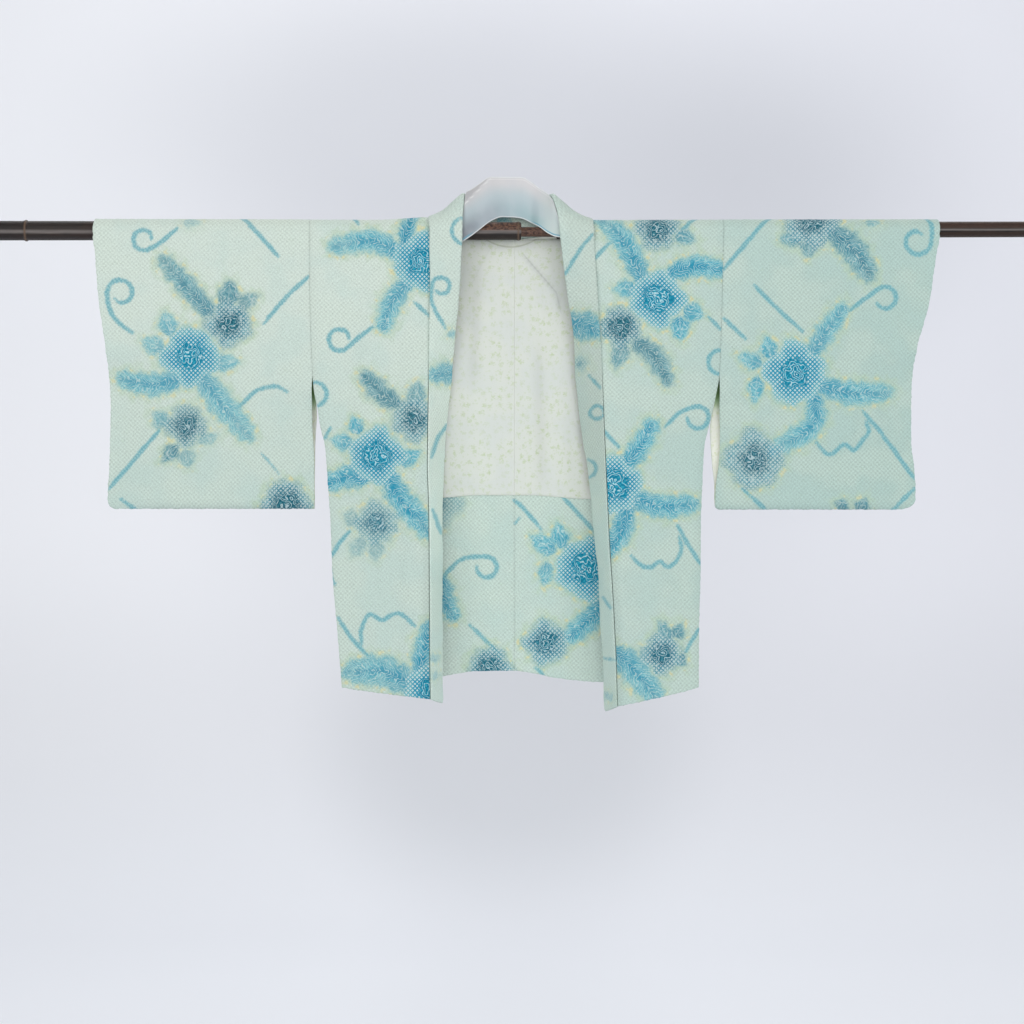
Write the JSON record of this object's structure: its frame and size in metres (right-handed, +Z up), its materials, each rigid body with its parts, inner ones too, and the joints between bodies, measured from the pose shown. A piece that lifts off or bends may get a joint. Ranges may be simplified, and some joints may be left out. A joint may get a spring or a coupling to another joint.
{
  "type": "haori jacket on bamboo pole",
  "caption": "Short open-front kimono jacket of tie-dyed crepe, hung flat with spread sleeves on a dark bamboo pole.",
  "frame": {"origin": "on the pole's axis at the middle of the jacket, where the pole is held", "axes": "+X along the pole to the viewer's right, +Y from the jacket's front to its back, +Z up"},
  "size_m": [1.612, 0.0876, 0.8155],
  "materials": {
    "crepe": "pale mint silk crepe with a tie-dyed puckered lattice and blue flowers",
    "lining": "cream silk with small pale yellow-green spots",
    "stay": "smooth stiff pale blue and off-white, slightly glossy",
    "bamboo": "dark brown smoked bamboo, satin, with fine lengthwise streaks"
  },
  "bodies": {
    "root": {"body_l": "crepe", "body_r": "crepe", "gusset_l": "crepe", "gusset_r": "crepe", "sleeve_l": "crepe", "sleeve_r": "crepe", "sleeve_lining_l": "lining", "sleeve_lining_r": "lining", "collar": "crepe", "collar_stay": "stay", "back_lining_l": "lining", "back_lining_r": "lining", "hem_facing_l": "crepe", "hem_facing_r": "crepe", "pole_left": "bamboo", "pole_right": "bamboo"}
  },
  "joints": []
}
